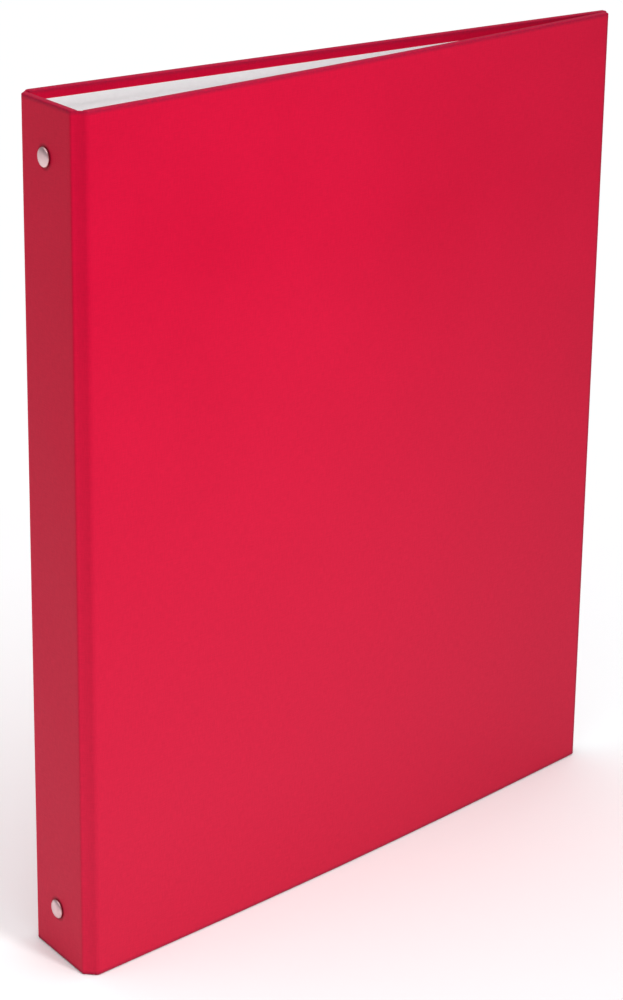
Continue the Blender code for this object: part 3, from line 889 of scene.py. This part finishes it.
def half_ring_path():
    """Centre line of a back half ring as (x, distance from the middle), with the bar's radii."""
    path = [(RING_TOP, RING_GAP + past) for past, _ in RING_TIP]
    radii = [WIRE * share for _, share in RING_TIP]
    for i in range(2, RING_STEPS + 1):
        turn = RING_ARC_END * i / RING_STEPS
        path.append((RING_CENTRE_X + RING_RADIUS * math.cos(turn), RING_RADIUS * math.sin(turn)))
    bend = RING_RADIUS + RING_BEND
    bend_x = RING_CENTRE_X + bend * math.cos(RING_ARC_END)
    bend_y = bend * math.sin(RING_ARC_END)
    for i in range(1, RING_BEND_STEPS + 1):
        turn = RING_ARC_END + (math.pi / 2 - RING_ARC_END) * i / RING_BEND_STEPS
        path.append((bend_x - RING_BEND * math.cos(turn), bend_y - RING_BEND * math.sin(turn)))
    radii += [WIRE] * (len(path) - len(radii))
    path += [(bend_x - WIRE / 2, path[-1][1]), (FOOT_END, path[-1][1])]
    radii += [FOOT_RADIUS] * 2
    return path, radii


def build_rings(material):
    """Four pairs of half rings, each pair meeting in a fine gap at the ring's top."""
    path, radii = half_ring_path()
    for name, side in (("front", -1), ("back", 1)):
        for i, z in enumerate(RING_HEIGHTS, start=1):
            line = [Vector((x, MIDDLE_Y + side * away, z)) for x, away in path]
            bar = swept(line, radii, RING_SIDES)
            ring = finished(f"{name}_ring_bar_{i}", bar, material, TURNED_CREASE)
            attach(ring, name + "_rail")
            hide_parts(f"{name}_half_ring_{i}")


def housing_outline():
    """Section of the arched housing with its lips, as (x, distance from the middle)."""
    turns = [math.pi * i / HOUSING_ARCH_STEPS for i in range(HOUSING_ARCH_STEPS + 1)]
    inner = HOUSING_HALF - HOUSING_WALL
    lip = HOUSING_HALF - HOUSING_LIP
    lip_top = HOUSING_FOOT + HOUSING_WALL
    rise = HOUSING_CROWN - HOUSING_SHOULDER

    def arch(half, height):
        return [(HOUSING_SHOULDER + height * math.sin(t), half * math.cos(t)) for t in turns]

    over = arch(HOUSING_HALF, rise)
    under = arch(inner, rise - HOUSING_WALL)
    back_lip = [(lip_top, inner), (lip_top, lip), (HOUSING_FOOT, lip), (HOUSING_FOOT, HOUSING_HALF)]
    front_lip = [(x, -away) for x, away in back_lip[::-1]]
    return over + front_lip + under[::-1] + back_lip


def plate_cutter(y_range, z_range, rounding):
    """A bar along X through the housing's arch, whose section has rounded corners."""
    (y0, y1), (z0, z1) = y_range, z_range
    outline = []
    corners = ((y1, z1, 1, 1), (y0, z1, -1, 1), (y0, z0, -1, -1), (y1, z0, 1, -1))
    for i, (y, z, toward_y, toward_z) in enumerate(corners):
        for k in range(CORNER_STEPS + 1):
            turn = math.pi / 2 * (i + k / CORNER_STEPS)
            outline.append((
                y - toward_y * rounding + rounding * math.cos(turn),
                z - toward_z * rounding + rounding * math.sin(turn),
            ))
    shape = prism(outline, CUT_FLOOR, CUT_TOP, place=lambda a, b, level: (level, a, b))
    return placed("cutter", shape)


def build_housing(material):
    """The arched spring housing with slots for the half rings and notches for the levers."""
    shape = prism(
        housing_outline(), HOUSING_LOW, HOUSING_HIGH,
        place=lambda x, away, z: (x, MIDDLE_Y + away, z),
    )
    housing = finished("ring_housing_shell", shape, material, PLATE_CREASE)
    for z in RING_HEIGHTS:
        for side in (-1, 1):
            ends = sorted(MIDDLE_Y + side * end for end in (SLOT_INNER_END, SLOT_OUTER_END))
            cut(housing, plate_cutter(ends, (z - SLOT_HALF, z + SLOT_HALF), SLOT_ROUND))
    notch = (MIDDLE_Y - LEVER_NOTCH, MIDDLE_Y + LEVER_NOTCH)
    for heights in (
        (HOUSING_LOW - NOTCH_PAST, HOUSING_LOW + LEVER_NOTCH_DEPTH),
        (HOUSING_HIGH - LEVER_NOTCH_DEPTH, HOUSING_HIGH + NOTCH_PAST),
    ):
        cut(housing, plate_cutter(notch, heights, NOTCH_ROUND))
    round_edges(housing, PLATE_EDGE)
    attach(housing, "spine")
    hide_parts("ring_housing")


def build_rivets(head_material, button_material):
    """Each rivet has a domed head with a thin rim on the spine and a low button inside."""
    face = SPINE_OUTER - RIVET_GAP
    dome = face - RIVET_TOP - RIVET_RIM
    turns = [math.pi / 2 * i / RIVET_DOME_STEPS for i in range(RIVET_DOME_STEPS + 1)]
    head = [(RIVET_TOP + dome * (1 - math.cos(t)), RIVET_RADIUS * math.sin(t)) for t in turns]
    under = [
        (face - RIVET_RIM_CHAMFER, RIVET_RADIUS),
        (face, RIVET_RADIUS - RIVET_RIM_CHAMFER),
        (face, RIVET_SHANK),
    ]
    seat = HOUSING_CROWN + RIVET_GAP
    rise = RIVET_END - seat
    button = [(seat + rise * math.sin(t), RIVET_BUTTON * math.cos(t)) for t in turns]
    profile = head + under + [(seat, RIVET_SHANK)] + button
    for name, z in RIVET_HEIGHTS.items():
        shape = turned(profile, MIDDLE_Y, z)
        rivet = finished(name + "_turned", shape, head_material, TURNED_CREASE)
        rivet.data.materials.append(button_material)
        for polygon in rivet.data.polygons:
            polygon.material_index = 1 if polygon.center.x > SPINE_INNER else 0
        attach(rivet, "spine")
        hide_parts(name)


def lever_path():
    """A smooth line through the lever's section, from its inner arm to its tab."""
    line = [Vector(point) for point in LEVER_PATH]
    points = [line[0]]
    for i in range(len(line) - 1):
        before, after = line[max(i - 1, 0)], line[min(i + 2, len(line) - 1)]
        pulls = ((line[i + 1] - before) / 2, (after - line[i]) / 2)
        points += hermite(line[i], pulls[0], line[i + 1], pulls[1], LEVER_STEPS)
    return points


def lever_sheet(axis, out):
    """The lever's middle surface, whose tab ends in two rounded corners."""
    points = lever_path()
    run = lengths(points)
    shape = bmesh.new()
    rows = []
    for point, along in zip(points, run):
        left = run[-1] - along
        half = LEVER_HALF
        if left < LEVER_CORNER:
            inside = LEVER_CORNER**2 - (LEVER_CORNER - left) ** 2
            half -= LEVER_CORNER - math.sqrt(max(0.0, inside))
        places = spaced(axis.y - half, axis.y + half, LEVER_COLUMNS)
        rows.append([
            shape.verts.new((axis.x + point.x, y, axis.z + out * point.y)) for y in places
        ])
    for first, second in zip(rows, rows[1:]):
        for k in range(LEVER_COLUMNS):
            shape.faces.new((first[k], first[k + 1], second[k + 1], second[k]))
    bmesh.ops.recalc_face_normals(shape, faces=shape.faces)
    return shape


def shaft_bar(axis, sides=24):
    """The lever's cross shaft, which ends inside the housing's two walls."""
    half = HOUSING_HALF - HOUSING_WALL / 2
    turns = [2 * math.pi * k / sides for k in range(sides)]
    circle = [(LEVER_SHAFT * math.cos(t), LEVER_SHAFT * math.sin(t)) for t in turns]
    return prism(
        circle, -half, half,
        place=lambda a, b, level: (axis.x + a, axis.y + level, axis.z + b),
    )


def build_levers(material):
    """Bent plates with rounded thumb tabs, each on its cross shaft."""
    for name, out in (("lower_lever", -1), ("upper_lever", 1)):
        axis = JOINTS[name + "_turn"]
        lever = finished(name + "_plate", lever_sheet(axis, out), material)
        thicken(lever, LEVER_PLATE, 0.0)
        round_edges(lever, LEVER_EDGE)
        shaft = finished(name + "_shaft", shaft_bar(axis), material, TURNED_CREASE)
        round_edges(shaft, PLATE_EDGE)
        for piece in (lever, shaft):
            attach(piece, name)
        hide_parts(name)


# ---------------------------------------------------------------- studio


CAMERA_PLACE = (-0.5677, -0.7391, 0.5167)
CAMERA_AZIMUTH = math.radians(-36.49)
CAMERA_ELEVATION = math.radians(17.83)
CAMERA_ROLL = math.radians(0.81)
CAMERA_LENS = 95.3
CAMERA_SHIFT_Y = -0.17
FLOOR_RADIUS = 14.0
FLOOR_GAP = 0.0002
SUN_STRENGTH = 2.15
SUN_WIDTH = math.radians(80)
SUN_FROM = (0.04, -0.08, 1.0)
KEY_WATTS = 56.0
KEY_SIZE = 0.15
KEY_CONE = math.radians(25)
KEY_FROM, KEY_AT = (0.20, -1.30, 1.00), (-0.13, 0.0, 0.20)
SURROUNDINGS = (0.36, 0.36, 0.372, 1.0)


def build_camera():
    """The photo's view: azimuth and elevation of the camera's place, and a slight roll."""
    back = Vector((
        math.sin(CAMERA_AZIMUTH) * math.cos(CAMERA_ELEVATION),
        -math.cos(CAMERA_AZIMUTH) * math.cos(CAMERA_ELEVATION),
        math.sin(CAMERA_ELEVATION),
    ))
    level = Vector((math.cos(CAMERA_AZIMUTH), math.sin(CAMERA_AZIMUTH), 0.0))
    upright = back.cross(level)
    right = level * math.cos(CAMERA_ROLL) + upright * math.sin(CAMERA_ROLL)
    up = upright * math.cos(CAMERA_ROLL) - level * math.sin(CAMERA_ROLL)
    data = bpy.data.cameras.new("camera")
    data.lens = CAMERA_LENS
    data.shift_y = CAMERA_SHIFT_Y
    camera = bpy.data.objects.new("camera", data)
    turn = Matrix((right, up, back)).transposed()
    camera.matrix_world = Matrix.Translation(CAMERA_PLACE) @ turn.to_4x4()
    bpy.context.scene.collection.objects.link(camera)
    bpy.context.scene.camera = camera


def aimed(light, place, target):
    """A lamp at a place, turned towards a target."""
    lamp = bpy.data.objects.new(light.name, light)
    lamp.location = place
    lamp.rotation_euler = (Vector(target) - Vector(place)).to_track_quat("-Z", "Y").to_euler()
    bpy.context.scene.collection.objects.link(lamp)


def build_floor():
    """A wide disc of pale paper, just below the binder."""
    shape = bmesh.new()
    bmesh.ops.create_circle(shape, cap_ends=True, radius=FLOOR_RADIUS, segments=64)
    material, tree, shader = shade("paper_floor", 0.9, specular=0.0)
    pulp = noise(tree, object_place(tree), FLOOR_SCALE, detail=3.0)
    colour = blend_colours(tree, pulp, FLOOR_SHADE, FLOOR_BRIGHT)
    tree.links.new(colour, shader.inputs["Base Color"])
    floor = finished("floor", shape, material)
    floor.location.z = BOTTOM - FLOOR_GAP


def build_lights():
    """A wide soft light from above, a soft key light on the hinge, and pale surroundings."""
    sun = bpy.data.lights.new("overhead", "SUN")
    sun.energy = SUN_STRENGTH
    sun.angle = SUN_WIDTH
    aimed(sun, SUN_FROM, (0.0, 0.0, 0.0))
    beam = bpy.data.lights.new("key", "SPOT")
    beam.energy = KEY_WATTS
    beam.shadow_soft_size = KEY_SIZE
    beam.spot_size = KEY_CONE
    beam.spot_blend = 1.0
    aimed(beam, KEY_FROM, KEY_AT)
    world = bpy.data.worlds.new("studio")
    world.use_nodes = True
    world.node_tree.nodes["Background"].inputs["Color"].default_value = SURROUNDINGS
    bpy.context.scene.world = world
    bpy.context.scene.view_settings.view_transform = "Standard"


# ---------------------------------------------------------------- the whole binder


def main():
    red, white = red_covering("red_covering"), white_lining()
    spine_red = red_covering("red_spine", tuple(RIVET_HEIGHTS.values()))
    plating = nickel("nickel_plate")
    wire = nickel("nickel_wire", polish=0.14, grain=WIRE_GRAIN)
    rivet_head = nickel("nickel_rivet", 0.30, RIVET_GRAIN, RIVET_BRIGHT, RIVET_HAZY)
    build_camera()
    build_floor()
    build_lights()
    build_cover("front", SPINE_AT_FRONT, FRONT, 1, red, white)
    build_cover("back", SPINE_AT_BACK, BACK, -1, red, white)
    build_spine(spine_red, white)
    build_rings(wire)
    build_housing(plating)
    build_rivets(rivet_head, plating)
    build_levers(plating)
    for nodes, material in (
        (("front_cover_board", "spine_board", "back_cover_board"), greyboard()),
        (("front_ring_rail", "back_ring_rail"), zinc()),
    ):
        for node in nodes:
            frame["nodes"][node].data.materials.clear()
            frame["nodes"][node].data.materials.append(material)


main()
